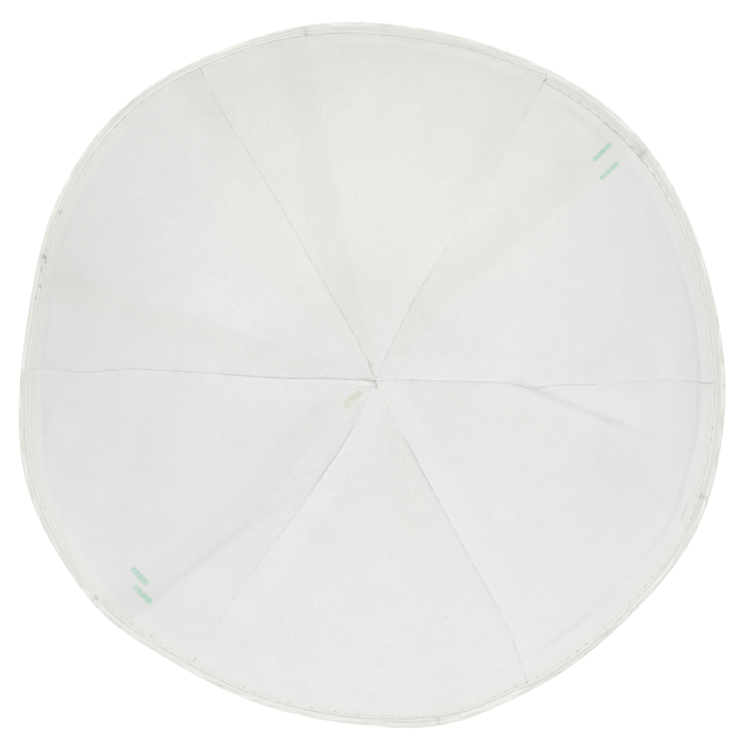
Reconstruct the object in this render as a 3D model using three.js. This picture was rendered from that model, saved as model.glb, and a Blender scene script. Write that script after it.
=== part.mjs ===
// A white zucchetto, the small skullcap of six gores with a sewn-in lining, lying on its crown with
// the hollow up. Millimetres, +Z up, the origin under the middle of the cap on the surface it lies on.
import * as THREE from "three";

// Driving dimensions
const RIM_RADIUS = 88.5; // the rim between its swells
const GORE_LENGTH = 114; // along a gore, from the crown point to the rim
const CROWN_X = 0.5; // the crown point, where the gores' points meet
const CROWN_Y = -1.7;
const TIP_REACH = 0.9; // how near a gore's point comes to the crown point

const CLOTH_WALL = 1.0; // the outer cloth
const LINING_WALL = 1.0;
const HEM_WALL = 1.8; // the outer cloth doubled by its turning at the rim
const HEM_WIDTH = 12; // the turning, measured along the gore
const HEM_STEP = 1; // over which the turning's raw edge ends
const LINING_STEP = 4; // over which the lining climbs on to the turning
const LINING_SHORT = 3.2; // how far the lining's edge stays back from the rim
const LAYER_GAP = 0.5; // between the cloth and its lining
const SEAM_GAP = 0.3; // between two gores of one layer

// The cap's section, as the slope of a gore along its length. The crown lies flat.
const SECTION = [
  { along: 0, slope: 0 },
  { along: 24, slope: 0 },
  { along: 38, slope: 15 },
  { along: 60, slope: 38 },
  { along: 86, slope: 55 },
  { along: GORE_LENGTH, slope: 65 },
];

// The rim's swells: where each is, how far it spreads (degrees) and how far it stands out (mm).
const RIM_SWELLS = [
  { at: 43, spread: 13, out: 2.1 },
  { at: 105, spread: 12, out: 2.0 },
  { at: 124, spread: 7, out: 1.0 },
  { at: 138, spread: 12, out: 4.4 },
  { at: 156, spread: 7, out: 1.1 },
  { at: 201, spread: 13, out: 4.1 },
  { at: 222, spread: 7, out: 2.2 },
  { at: 281, spread: 8, out: 2.2 },
  { at: 302, spread: 10, out: 1.0 },
  { at: 335, spread: 11, out: 2.7 },
  { at: 357, spread: 8, out: 0.8 },
];
const RIM_DROP = 0.25; // a swell of 1 mm lowers the rim by this much

// The outer seams run straight from the crown point to these places on the rim (degrees).
const OUTER_SEAMS = [
  { rim: 39.5, bends: [] },
  { rim: 101.1, bends: [] },
  { rim: 160.4, bends: [] },
  { rim: 218.9, bends: [] },
  { rim: 280.6, bends: [] },
  { rim: 339.7, bends: [] },
];

// The lining's seams wander: a bend is how far off the straight line (mm, anticlockwise) the seam
// lies at a reach from the crown point.
const LINING_SEAMS = [
  { rim: -1.5, bends: [{ reach: 19, off: 0.6 }, { reach: 34, off: 0.8 }, { reach: 42, off: -1.1 },
    { reach: 57, off: 0 }, { reach: 80, off: 1.8 }] },
  { rim: 59.8, bends: [{ reach: 11, off: 0.9 }, { reach: 35, off: 1.0 }, { reach: 66, off: 1.4 }] },
  { rim: 119.4, bends: [{ reach: 13, off: -1.2 }, { reach: 40, off: -1.1 }, { reach: 63, off: -0.7 }] },
  { rim: 179, bends: [{ reach: 34, off: 0.6 }, { reach: 49, off: 0.4 }, { reach: 64, off: -1.3 },
    { reach: 73, off: -0.2 }] },
  { rim: 237.9, bends: [{ reach: 14, off: 1.4 }, { reach: 39, off: 0.8 }, { reach: 55, off: 0.3 }] },
  { rim: 296.5, bends: [{ reach: 8, off: 0.6 }, { reach: 47, off: 0.6 }, { reach: 69, off: 1.1 }] },
];

// Folds and dents, each along a straight stretch in plan (x, y in mm). It rises into the hollow by
// rise, and dies away over left and right, the widths on its two sides as seen from its start.
const CAP_DENTS = [
  { x0: -70, y0: 20, x1: -74, y1: 29, left: 5, right: 4, rise: 1.2 },
  { x0: 55, y0: -14, x1: 70, y1: -25, left: 7, right: 6, rise: 0.9 },
];
const LINING_FOLDS = [
  { x0: -16, y0: -35, x1: -60, y1: -60, left: 7, right: 3, rise: 1.4 },
  { x0: 37, y0: -2, x1: 66, y1: -13, left: 3, right: 6, rise: 1.3 },
  { x0: 6, y0: 11, x1: 58, y1: 56, left: 6, right: 6, rise: 0.6 },
  { x0: -4, y0: 14, x1: -16, y1: 84, left: 5, right: 5, rise: 0.5 },
];

const ACROSS = 10; // facets across a gore
const ALONG = 16; // facets along a gore, short of the hem
const ALONG_HEM = 3;

const rad = THREE.MathUtils.degToRad;

// A value between the rows of a table, by a key column and a value column.
function readTable(rows, key, value, at) {
  const next = rows.findIndex((row) => row[key] >= at);
  if (next === 0) return rows[0][value];
  if (next < 0) return rows[rows.length - 1][value];
  const [a, b] = [rows[next - 1], rows[next]];
  const step = (at - a[key]) / (b[key] - a[key]);
  return THREE.MathUtils.lerp(a[value], b[value], step);
}

// The section worked out from its slopes: reach and height at each millimetre along the gore.
const sectionPoints = [{ along: 0, reach: 0, height: 0 }];
for (let along = 1; along <= GORE_LENGTH; along += 1) {
  const slope = rad(readTable(SECTION, "along", "slope", along - 0.5));
  const last = sectionPoints[along - 1];
  sectionPoints.push({
    along,
    reach: last.reach + Math.cos(slope),
    height: last.height + Math.sin(slope),
  });
}
const sectionScale = RIM_RADIUS / sectionPoints[GORE_LENGTH].reach;

function reachAt(along) {
  return readTable(sectionPoints, "along", "reach", along) * sectionScale;
}

function swellAt(angle) {
  return RIM_SWELLS.reduce((sum, swell) => {
    const away = THREE.MathUtils.euclideanModulo(THREE.MathUtils.radToDeg(angle) - swell.at + 180, 360) - 180;
    return sum + swell.out * Math.exp(-0.5 * (away / swell.spread) ** 2);
  }, 0);
}

// A point on the cap's outer face. The swells and the crown's shift fade in and out along the gore.
function outerFace(angle, along) {
  const part = along / GORE_LENGTH;
  const swell = swellAt(angle) * part * part * part;
  const reach = reachAt(along) + swell;
  const height = readTable(sectionPoints, "along", "height", along) * sectionScale;
  return new THREE.Vector3(
    CROWN_X * (1 - part) + reach * Math.cos(angle),
    CROWN_Y * (1 - part) + reach * Math.sin(angle),
    height - RIM_DROP * swell * part,
  );
}

// How far a fold lifts the cloth at a place in plan.
function foldRise(fold, x, y) {
  const dx = fold.x1 - fold.x0;
  const dy = fold.y1 - fold.y0;
  const length = Math.hypot(dx, dy);
  const on = ((x - fold.x0) * dx + (y - fold.y0) * dy) / length;
  const side = ((y - fold.y0) * dx - (x - fold.x0) * dy) / length;
  const past = Math.max(0, -on, on - length);
  const width = side > 0 ? fold.left : fold.right;
  return fold.rise * Math.exp(-((side / width) ** 2) - (past / (fold.left + fold.right)) ** 2);
}

function riseOf(folds, place) {
  return folds.reduce((sum, fold) => sum + foldRise(fold, place.x, place.y), 0);
}

// A point in the cap's thickness: depth is measured from the outer face into the hollow.
function capPoint(angle, along, depth, folds) {
  const here = outerFace(angle, along);
  const onward = outerFace(angle, Math.min(along + 0.5, GORE_LENGTH)).sub(outerFace(angle, along - 0.5));
  const around = outerFace(angle + 0.005, along).sub(outerFace(angle - 0.005, along));
  const inward = onward.cross(around).normalize();
  return here.clone().addScaledVector(inward, depth + riseOf(folds, here));
}

// The angle of a seam at a reach from the crown point, moved sideways by shift (mm).
function seamAngle(seam, reach, shift) {
  const bends = [{ reach: 0, off: 0 }, ...seam.bends, { reach: RIM_RADIUS, off: 0 }];
  return rad(seam.rim) + (readTable(bends, "reach", "off", reach) + shift) / reach;
}

// Even distances along a gore, where its facets meet.
function evenly(start, end, count) {
  return Array.from({ length: count + 1 }, (_, i) => THREE.MathUtils.lerp(start, end, i / count));
}

const hemStart = GORE_LENGTH - HEM_WIDTH;

// An outer gore's thickness: one cloth, then the doubled hem, rounded over at the rim.
function outerSection() {
  const round = HEM_WALL / 2;
  const single = evenly(TIP_REACH, hemStart - HEM_STEP, ALONG);
  const doubled = evenly(hemStart, GORE_LENGTH - round, ALONG_HEM);
  return [
    ...single.map((along) => ({ along, low: 0, high: CLOTH_WALL })),
    ...doubled.map((along) => ({ along, low: 0, high: HEM_WALL })),
    { along: GORE_LENGTH - 0.3 * round, low: 0.3 * round, high: HEM_WALL - 0.3 * round },
    { along: GORE_LENGTH, low: 0.75 * round, high: HEM_WALL - 0.75 * round },
  ];
}

// A lining gore lies on the cloth, climbs on to the hem and ends in a folded edge.
function liningSection() {
  const onCloth = CLOTH_WALL + LAYER_GAP;
  const onHem = HEM_WALL + LAYER_GAP;
  const climbed = hemStart - 2 * HEM_STEP;
  const end = GORE_LENGTH - LINING_SHORT;
  const bevel = 0.25 * LINING_WALL;
  const lower = evenly(TIP_REACH, climbed - LINING_STEP, ALONG);
  const upper = evenly(climbed, end - bevel, ALONG_HEM);
  return [
    ...lower.map((along) => ({ along, low: onCloth, high: onCloth + LINING_WALL })),
    ...upper.map((along) => ({ along, low: onHem, high: onHem + LINING_WALL })),
    { along: end, low: onHem + bevel, high: onHem + LINING_WALL - bevel },
  ];
}

// A gore between two seams, as one closed solid with its two faces, its sides and its two ends.
function goreGeometry(from, to, section, folds) {
  const positions = [];
  const addPoint = (angle, along, depth) => {
    const point = capPoint(angle, along, depth, folds);
    positions.push(point.x, point.y, point.z);
  };
  section.forEach((row) => {
    const reach = reachAt(row.along);
    const start = seamAngle(from, reach, SEAM_GAP / 2);
    let end = seamAngle(to, reach, -SEAM_GAP / 2);
    if (to.rim < from.rim) end += 2 * Math.PI;
    for (let i = 0; i <= ACROSS; i += 1) {
      const angle = THREE.MathUtils.lerp(start, end, i / ACROSS);
      addPoint(angle, row.along, row.low);
      addPoint(angle, row.along, row.high);
    }
  });
  const low = (j, i) => 2 * (j * (ACROSS + 1) + i);
  const high = (j, i) => low(j, i) + 1;
  const indices = [];
  const addQuad = (a, b, c, d) => indices.push(a, b, c, a, c, d);
  const last = section.length - 1;
  for (let j = 0; j < last; j += 1) {
    for (let i = 0; i < ACROSS; i += 1) {
      addQuad(low(j, i), low(j, i + 1), low(j + 1, i + 1), low(j + 1, i));
      addQuad(high(j, i), high(j + 1, i), high(j + 1, i + 1), high(j, i + 1));
    }
    addQuad(low(j, 0), low(j + 1, 0), high(j + 1, 0), high(j, 0));
    addQuad(low(j, ACROSS), high(j, ACROSS), high(j + 1, ACROSS), low(j + 1, ACROSS));
  }
  for (let i = 0; i < ACROSS; i += 1) {
    addQuad(low(0, i), high(0, i), high(0, i + 1), low(0, i + 1));
    addQuad(low(last, i), low(last, i + 1), high(last, i + 1), high(last, i));
  }
  const geometry = new THREE.BufferGeometry();
  geometry.setAttribute("position", new THREE.Float32BufferAttribute(positions, 3));
  geometry.setIndex(indices);
  geometry.computeVertexNormals();
  return geometry;
}

const outerCloth = new THREE.MeshStandardMaterial({ color: 0xf0ede2, roughness: 0.8, metalness: 0 });
const liningCloth = new THREE.MeshStandardMaterial({ color: 0xf4f3f0, roughness: 0.9, metalness: 0 });

const zucchetto = new THREE.Group();

function addGores(name, seams, section, folds, material) {
  seams.forEach((seam, i) => {
    const next = seams[(i + 1) % seams.length];
    const gore = new THREE.Mesh(goreGeometry(seam, next, section, folds), material.clone());
    gore.name = `${name}_${i + 1}`;
    zucchetto.add(gore);
  });
}

addGores("outer_gore", OUTER_SEAMS, outerSection(), CAP_DENTS, outerCloth);
addGores("lining_gore", LINING_SEAMS, liningSection(), [...CAP_DENTS, ...LINING_FOLDS],
  liningCloth);

// The origin goes under the middle of the cap, on the surface it lies on.
const box = new THREE.Box3().setFromObject(zucchetto);
const middle = box.getCenter(new THREE.Vector3());
zucchetto.children.forEach((gore) => gore.geometry.translate(-middle.x, -middle.y, -box.min.z));

export default zucchetto;
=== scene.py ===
import math

import bpy
import numpy as np
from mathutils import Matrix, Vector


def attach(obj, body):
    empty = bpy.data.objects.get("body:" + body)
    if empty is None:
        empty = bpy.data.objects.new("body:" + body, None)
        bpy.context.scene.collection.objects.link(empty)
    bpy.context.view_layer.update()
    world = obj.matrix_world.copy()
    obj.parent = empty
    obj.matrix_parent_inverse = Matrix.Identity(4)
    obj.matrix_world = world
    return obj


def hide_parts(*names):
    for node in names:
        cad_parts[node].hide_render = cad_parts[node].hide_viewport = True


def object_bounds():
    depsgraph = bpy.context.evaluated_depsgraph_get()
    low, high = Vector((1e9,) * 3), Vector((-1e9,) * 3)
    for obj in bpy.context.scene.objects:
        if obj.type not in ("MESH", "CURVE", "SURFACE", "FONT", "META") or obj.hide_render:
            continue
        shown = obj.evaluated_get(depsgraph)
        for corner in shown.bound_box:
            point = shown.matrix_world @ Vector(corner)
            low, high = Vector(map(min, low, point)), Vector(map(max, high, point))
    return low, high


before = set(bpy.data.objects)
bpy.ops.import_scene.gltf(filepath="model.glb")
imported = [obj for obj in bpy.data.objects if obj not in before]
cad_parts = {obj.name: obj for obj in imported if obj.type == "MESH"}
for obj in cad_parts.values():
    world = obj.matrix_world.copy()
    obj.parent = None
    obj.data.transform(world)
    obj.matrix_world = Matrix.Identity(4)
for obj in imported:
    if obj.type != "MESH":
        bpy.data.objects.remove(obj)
CAD_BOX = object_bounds()

# Lengths are in millimetres until a piece is made. Angles go anticlockwise from the right, as seen
# from over the cap, in degrees in the tables and in radians in the functions.
MM = 0.001


def table(columns, *rows):
    """Rows of values under named columns, each row as a dictionary."""
    return [dict(zip(columns.split(), row)) for row in rows]


# ---------------------------------------------------------------- the cap's form

GORES = 6
RIM_RADIUS = 88.5
GORE_LENGTH = 114  # from the crown to the rim, along the cloth
CROWN_X = 0.5  # the crown point is a little off the middle
CROWN_Y = -1.7
TIP_REACH = 0.15  # how far from the crown point a gore's cloth starts
RIM_DROP = 0.25  # how much lower the rim hangs for each millimetre that it swells out
SECTION_STEP = 0.25
SECTION_SOFTNESS = 16  # steps on each side over which a change of slope is eased

# The slope of the section at distances along a gore.
SECTION = table(
    "along slope",
    (0, 0),
    (24, 0),
    (38, 15),
    (60, 38),
    (86, 55),
    (GORE_LENGTH, 65),
)

# Where, over how wide a stretch and how far the rim swells out past a circle.
RIM_SWELLS = table(
    "at spread out",
    (43, 13, 2.1),
    (105, 12, 2.0),
    (124, 7, 1.0),
    (138, 12, 4.4),
    (156, 7, 1.1),
    (201, 13, 4.1),
    (222, 7, 2.2),
    (281, 8, 2.2),
    (302, 10, 1.0),
    (335, 11, 2.7),
    (357, 8, 0.8),
)

# The outer seams. Their pressed allowance shows through the lining between from and to, measured in
# millimetres anticlockwise of the seam, as a band a little darker and warmer than the rest. Its far
# side fades over edge, and line paints shade along that side. Near the crown the band lies aside by
# shift.
OUTER_SEAMS = table(
    "rim from to dark warm edge line shift",
    (39.5, 4.0, 13.6, 0.02, 0.85, 4.4, 0, 0),
    (101.1, 0.3, 9.4, 0.024, 0.68, 4.4, 0, 0),
    (160.4, 0.5, 8.0, 0.01, 0.2, 4.4, 0, 0),
    (218.9, 0.5, 8.6, 0.018, 0.2, 1.6, 0.018, -5),
    (280.6, -1.2, 9.0, 0.01, 0.25, 4.4, 0, 0),
    (339.7, 0.5, 8.0, 0.007, 0.2, 4.4, 0, 0),
)

# The lining's seams. A bend is how far off the straight line the seam lies at a reach from the crown
# point. The lap is how proud the anticlockwise gore's edge stands over the other's, which is less
# than nothing where the clockwise one stands proud. White is how much lighter the anticlockwise gore
# is painted, partly for the allowances behind it and partly as painted light and shade, darker where
# it is less than nothing. Soft is how much painted shade lies beside the seam on its other side.
LINING_SEAMS = [
    {"rim": -1.5, "soft": 0.2,
     "bends": table("reach off", (9, 0.5), (20, 0.3), (36, 0.1), (43, -1.8), (48, -0.7), (60, -0.3),
                    (69, 0.7), (75, 1.1), (82, 0.8)),
     "laps": table("reach lap white", (0, 0.22, 1.1), (41, 0.33, 1.0), (44, -0.24, 0.4), (57, -0.14, 0),
                   (62, 0.14, 0.35), (88, 0.1, 0.3))},
    {"rim": 59.8, "soft": 0.2,
     "bends": table("reach off", (14, 1.4), (22, 1.7), (30, 1.6), (44, 0.6), (57, 0.0), (66, -0.2),
                    (82, 0.3)),
     "laps": table("reach lap white", (0, 0.2, 0.5), (30, 0.12, 0.4), (42, 0.02, 0.1), (62, 0.01, -0.8),
                   (88, 0.005, -1.2))},
    {"rim": 119.4, "soft": 0.2,
     "bends": table("reach off", (5, -0.7), (13, -1.15), (31, -0.8), (53, -0.7), (67, -0.3), (74, 0.25),
                    (81, 0.35)),
     "laps": table("reach lap white", (0, 0.2, 0.3), (16, 0.14, 0.2), (30, 0.12, 0.3), (60, 0.13, -0.3),
                   (88, 0.02, -1.8))},
    {"rim": 179, "soft": 0.2,
     "bends": table("reach off", (13, -0.15), (25, 0.2), (44, -0.6), (61, -1.1), (67, -0.8), (72, 0.0),
                    (78, 0.3), (84, -0.4)),
     "laps": table("reach lap white", (0, 0.28, 1.0), (30, 0.28, 0.6), (42, 0.2, 0.2), (70, 0.2, 0),
                   (88, 0.12, 0.2))},
    {"rim": 237.9, "soft": 1.0,
     "bends": table("reach off", (12, 1.75), (21, 2.1), (34, 1.8), (45, 1.45), (57, 0.65), (67, 0.1)),
     "laps": table("reach lap white", (0, 0.05, 1.4), (12, 0.1, 1.4), (20, 0.34, 1.3), (28, 0.37, 1.2),
                   (36, 0.11, 1.4), (60, 0.04, 1.1), (70, 0.015, 0.5), (88, 0.01, 0))},
    {"rim": 296.5, "soft": 1.0,
     "bends": table("reach off", (13, 0.05), (24, 0.5), (43, 1.0), (54, 1.35), (69, 2.0), (77, 1.8),
                    (83, 1.1)),
     "laps": table("reach lap white", (0, 0.05, 1.7), (16, 0.05, 1.2), (22, 0.08, 1.1), (28, 0.26, 1.0),
                   (36, 0.17, 1.0), (60, 0.13, 1.05), (70, 0.1, 0.95), (82, 0.05, 0.3))},
]
LAP_WIDTH = 2.4  # over which a proud edge sinks to the rest of its gore
TUCK = 0.7  # how far a gore runs on under its neighbour's proud edge
ALLOWANCE_WIDTH = 6.5

# Dents of the whole cap, and folds of the lining alone, each along a straight stretch in plan. It
# rises into the hollow by rise and dies away over left and right, seen from its start, and over a
# little past its ends. Shade darkens the foot on its right, most at its start.
CAP_DENTS = table("x0 y0 x1 y1 left right rise", (55, -14, 70, -25, 7, 6, 0.9))
LINING_FOLDS = table(
    "x0 y0 x1 y1 left right rise shade",
    (-28, -46.0, -54, -64.5, 4, 4, 0.4, 0),
    (40.4, -1.9, 66, -12.4, 4.5, 0.8, 1.1, 4.2),
)
FOLD_RUN_OUT = 8  # over which a fold dies away past its ends
FOOT_SHADE = {"width": 1.1, "run_out": 3}

# A crease between two slack bulges of the lining. They rise by rise on both sides, steeply within
# near of the crease, and die away over far. They start over one stretch and end over another, and
# are lower at more than low_from from the middle.
CREASE = {"x0": -13.9, "y0": -27.2, "x1": -58.7, "y1": -59.7, "near": 3.2, "far": 12, "rise": 1.3,
          "start_over": 16, "end_over": 5, "low_from": 62}

# The ring that the hem's inner edge presses into the lining. Inset is its distance from the rim along
# the cloth, and lift is its strength.
HEM_RING = table(
    "at inset lift",
    (0, 9.7, 1.5),
    (12, 8.8, 1.4),
    (24, 9.5, 1.1),
    (36, 9.1, 0.8),
    (48, 8.6, 0.8),
    (60, 6.6, 0.3),
    (90, 6.4, 0.15),
    (130, 6.4, 0.2),
    (148, 5.9, 0.8),
    (166, 5.9, 0.6),
    (185, 8.2, 1.4),
    (204, 7.4, 0.15),
    (270, 8.4, 0.1),
    (300, 11.2, 1.0),
    (312, 11.6, 1.0),
    (324, 10.6, 0.5),
    (336, 10.1, 1.4),
    (348, 9.7, 1.5),
)

# A pleat along the lining's edge, between two angles. Inset is its distance from the rim.
EDGE_PLEAT = {"start": 61, "end": 104, "inset": 6.6, "rise": 0.34}

# The tip of the left gore, folded over the others at the crown, in plan from the crown point.
TIP_FOLD = {"x0": -5.4, "y0": -0.45, "x1": 0.2, "y1": -1.15, "wide": 1.9, "narrow": 0.8, "rise": 0.8}

# Warm, cool, dark and light patches of the lining. Warm and cool are the cloth's own tint; dark and
# light are painted shade and painted light. Each lies around an angle and a reach from the crown
# point, and fades over spread degrees and over span. Less than nothing is cool or light.
PATCHES = table(
    "at spread reach span warm dark",
    (60, 20, 54, 32, 0.55, 0),
    (108, 26, 42, 34, 0.75, 0),
    (95, 34, 88, 9, 0.5, 0.026),
    (158, 16, 88, 7, 0.2, 0.01),
    (161.5, 4.5, 82, 4.5, 0.1, 0.04),
    (166, 5, 50, 12, 0, 0.012),
    (153, 9, 42, 12, 0, -0.018),
    (250, 26, 74, 24, -0.8, 0),
    (312, 24, 76, 24, -0.6, 0),
    (205, 18, 80, 14, -0.3, 0),
    (290, 50, 88, 6, 0, 0.015),
    (308, 9, 82.1, 0.8, 0, 0.028),
    (338, 5, 84.8, 0.7, 0, 0.03),
    (224, 6, 86, 5, 0, 0.035),
    (353.8, 5, 57, 16, 0, -0.045),
    (5.5, 4, 58, 12, 0, 0.02),
    (24, 13, 58, 15, 0, 0.016),
    (33, 8, 50, 12, 0, 0.01),
    (47, 4.5, 75, 8, 0, 0.012),
    (52, 7, 86.3, 0.9, 0, 0.035),
    (66, 3, 68, 12, 0, 0.013),
    (2, 10, 84, 3, 0, 0.02),
    (183, 5, 83, 4, 0, 0.02),
    (210, 7, 26, 12, 0, 0.008),
    (3, 17, 76.8, 2.0, 0, -0.024),
)

# A yellowish stain beside the crown, laid out as the patches are.
STAIN = {"at": 219, "spread": 10, "reach": 7.9, "span": 2.8, "strength": 0.6}

# How thick the cloths are.
OUTER_CLOTH = 0.45
LINING_CLOTH = 0.13

# The depths of the cloths' middles, from the cap's outer face into the hollow.
OUTER_DEPTH = 0.25
TURNED_DEPTH = 0.92
LINING_DEPTH = 1.1
LINING_HEM_DEPTH = 1.37
LINING_UNDER_DEPTH = 1.22

# How much of each cloth is turned over at its edge.
HEM_WIDTH = 12
LINING_UNDER_WIDTH = 5

# The depth of the hem's middle at each distance back from the rim.
HEM_FALL = table(
    "back depth",
    (0, TURNED_DEPTH),
    (4, TURNED_DEPTH),
    (9, 0.78),
    (HEM_WIDTH, 0.74),
)

# The lining's folded edge around the rim. Short is how far it stays back from the rim. Beside it, the
# hem puffs up by puff, and lit is how much painted light fills the shade there. The fourth column is
# how much darker the hem is painted, partly its own greyer tone and partly painted shade.
LINING_EDGE = table(
    "at short puff grime lit",
    (0, 3.2, 0, 0.14, 0.16),
    (20, 3.0, 0, 0.13, 0.2),
    (34, 3.2, 0, 0.13, 0.28),
    (40, 3.9, 0, 0.14, 0.25),
    (48, 4.5, 0, 0.14, 0.25),
    (59.7, 4.6, 0, 0.14, 0.25),
    (59.9, 0.8, 0.04, 0.14, 0.3),
    (65, 2.3, 0.04, 0.14, 0.18),
    (74, 3.0, 0.04, 0.15, 0.09),
    (81, 3.6, 0.03, 0.15, 0.09),
    (90, 3.4, 0, 0.15, 0.185),
    (101, 3.0, 0, 0.15, 0.16),
    (106, 2.2, 0, 0.15, 0.25),
    (112, 1.7, 0, 0.15, 0.26),
    (127, 1.8, 0, 0.15, 0.26),
    (150, 1.9, 0, 0.15, 0.24),
    (180, 2.1, 0, 0.14, 0.22),
    (210, 2.2, 0, 0.18, 0.22),
    (216, 1.9, 0.02, 0.18, 0.22),
    (222, 1.4, 0.04, 0.19, 0.24),
    (268, 1.4, 0.04, 0.22, 0.33),
    (273, 2.4, 0.03, 0.23, 0.34),
    (279, 2.5, 0.02, 0.22, 0.36),
    (284, 1.5, 0.04, 0.2, 0.35),
    (294, 1.4, 0.04, 0.18, 0.28),
    (297, 0.25, 0, 0.18, 0.32),
    (312, 0.3, 0, 0.18, 0.37),
    (318, 0.8, 0.03, 0.21, 0.295),
    (330, 1.3, 0.02, 0.24, 0.33),
    (339, 2.3, 0.02, 0.2, 0.2),
    (343, 3.0, 0, 0.17, 0.23),
)

# The topstitching around the rim. Inset is how far inside the lining's edge it runs, and deep is how
# dark the painted shade in its needle holes is.
STITCH_LINE = table(
    "at inset deep",
    (0, -0.1, 0.45),
    (16, -0.2, 0.4),
    (24, -0.2, 0.25),
    (45, -0.5, 0.15),
    (59.7, -0.4, 0.1),
    (59.9, 2.2, 0.2),
    (65, 1.2, 0.2),
    (74, 0.8, 0.2),
    (90, 0.5, 0.2),
    (101, 0.6, 0.2),
    (110, 1.2, 0.2),
    (127, 1.0, 0.2),
    (150, 0.8, 0.2),
    (180, -0.1, 0.15),
    (200, 0.4, 0.2),
    (216, 0.8, 0.5),
    (224, 1.4, 0.9),
    (268, 1.3, 1.0),
    (279, 0.7, 0.8),
    (290, 1.3, 0.9),
    (297, 1.8, 0.9),
    (312, 1.8, 0.9),
    (330, 1.0, 1.0),
    (345, 0.4, 0.6),
)
STITCH_PITCH = 3.0

# Small unevenness of the cloths: how much there is, how far apart its bumps lie, and its seed.
UNEVEN = {
    "outer_pucker": {"much": 0.10, "apart": 2.4, "seed": 5},
    "lining_pucker": {"much": 0.10, "apart": 1.7, "seed": 11},
    "seam_wander": {"much": 0.10, "apart": 3.1, "seed": 23},
    "hem_ring": {"much": 0.6, "apart": 3, "seed": 31},
    "broad_wrinkle": {"much": 0.34, "apart": 17, "seed": 41},
    "fine_wrinkle": {"much": 0.16, "apart": 7, "seed": 42},
    "rim_ripple": {"much": 0.16, "apart": 5.5, "seed": 43},
    "edge_pleat": {"much": 0.4, "apart": 4, "seed": 61},
    "allowance": {"much": 0.45, "apart": 13, "seed": 71},
}


def ease(value):
    """0 to 1, smoothly, as value goes from 0 to 1."""
    value = np.clip(value, 0.0, 1.0)
    return value * value * (3 - 2 * value)


def hump(away, width):
    """1 where away is 0, and falling smoothly to nothing on both sides, over about twice the width."""
    return np.exp(-((away / width) ** 2))


def near_rim(along, within, over):
    """0 up to that far within the rim, and then up to 1 over the next stretch."""
    return ease((along - GORE_LENGTH + within) / over)


def column(rows, key):
    return np.array([row[key] for row in rows], dtype=float)


def read_table(rows, key, value, at):
    return np.interp(at, column(rows, key), column(rows, value))


def read_round(rows, value, angle):
    """A table's value at angles (radians) around the rim."""
    return np.interp(np.degrees(angle), column(rows, "at"), column(rows, value), period=360)


def degrees_from(angle, centre):
    """How far angles are from a centre, all in degrees, the shorter way round."""
    return (angle - centre + 180) % 360 - 180


def section_curve():
    """The reach and height of a gore's line at each step along it."""
    along = np.arange(0, GORE_LENGTH + SECTION_STEP, SECTION_STEP)
    slope = np.radians(read_table(SECTION, "along", "slope", along))
    window = np.ones(2 * SECTION_SOFTNESS + 1) / (2 * SECTION_SOFTNESS + 1)
    slope = np.convolve(np.pad(slope, SECTION_SOFTNESS, mode="edge"), window, mode="valid")
    middle = (slope[1:] + slope[:-1]) / 2
    reach = np.concatenate([[0], np.cumsum(np.cos(middle))]) * SECTION_STEP
    height = np.concatenate([[0], np.cumsum(np.sin(middle))]) * SECTION_STEP
    scale = RIM_RADIUS / reach[-1]
    return along, reach * scale, height * scale


SECTION_ALONG, SECTION_REACH, SECTION_HEIGHT = section_curve()
# The radius that a ring of the cap has in its gore's flat cloth.
SECTION_ROUND = np.maximum(SECTION_REACH, 0.1) / np.gradient(SECTION_REACH, SECTION_ALONG)


def reach_at(along):
    return np.interp(along, SECTION_ALONG, SECTION_REACH)


def swell_at(angle):
    """How far out the rim swells at an angle."""
    total = np.zeros_like(angle)
    for swell in RIM_SWELLS:
        away = degrees_from(np.degrees(angle), swell["at"])
        total = total + swell["out"] * np.exp(-0.5 * (away / swell["spread"]) ** 2)
    return total


def outer_face(angle, along):
    """Points on the cap's outer face. The swells and the crown's shift fade along the gore."""
    part = along / GORE_LENGTH
    swell = swell_at(angle) * part ** 3
    reach = reach_at(along) + swell
    height = np.interp(along, SECTION_ALONG, SECTION_HEIGHT) - RIM_DROP * swell * part
    x = CROWN_X * (1 - part) + reach * np.cos(angle)
    y = CROWN_Y * (1 - part) + reach * np.sin(angle)
    return np.stack([x, y, height], axis=-1)


def inward(angle, along):
    """The directions into the hollow at right angles to the outer face."""
    step = 0.4
    turn = 0.004
    before = np.clip(along - step, 0.02, None)
    after = np.clip(along + step, None, GORE_LENGTH)
    onward = outer_face(angle, after) - outer_face(angle, before)
    around = outer_face(angle + turn, along) - outer_face(angle - turn, along)
    normal = np.cross(onward, around)
    return normal / np.linalg.norm(normal, axis=-1, keepdims=True)


def beside(row, x, y):
    """How far on and how far to the left of a straight stretch a place is, and its length."""
    dx = row["x1"] - row["x0"]
    dy = row["y1"] - row["y0"]
    length = math.hypot(dx, dy)
    on = ((x - row["x0"]) * dx + (y - row["y0"]) * dy) / length
    side = ((y - row["y0"]) * dx - (x - row["x0"]) * dy) / length
    return on, side, length


def past_ends(on, length):
    """How far past the ends of a straight stretch a place is."""
    return np.maximum(0, np.maximum(-on, on - length))


def fold_rise(fold, x, y):
    on, side, length = beside(fold, x, y)
    width = np.where(side > 0, fold["left"], fold["right"])
    return fold["rise"] * np.exp(-((side / width) ** 2) - (past_ends(on, length) / FOLD_RUN_OUT) ** 2)


def fold_shade(fold, x, y):
    """The shadow along the foot on a fold's right, half as dark at its end as at its start."""
    on, side, length = beside(fold, x, y)
    dark = fold["shade"] * (1 - 0.5 * np.clip(on / length, 0, 1))
    foot = (side + fold["right"]) / FOOT_SHADE["width"]
    past = past_ends(on, length) / FOOT_SHADE["run_out"]
    return dark * np.exp(-(foot ** 2) - past ** 2)


def crease_at(x, y):
    """How far to the left of the crease's line a place is, and 1 along the line's length."""
    on, side, length = beside(CREASE, x, y)
    return side, ease(on / CREASE["start_over"]) * (1 - ease((on - length + 2) / CREASE["end_over"]))


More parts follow.
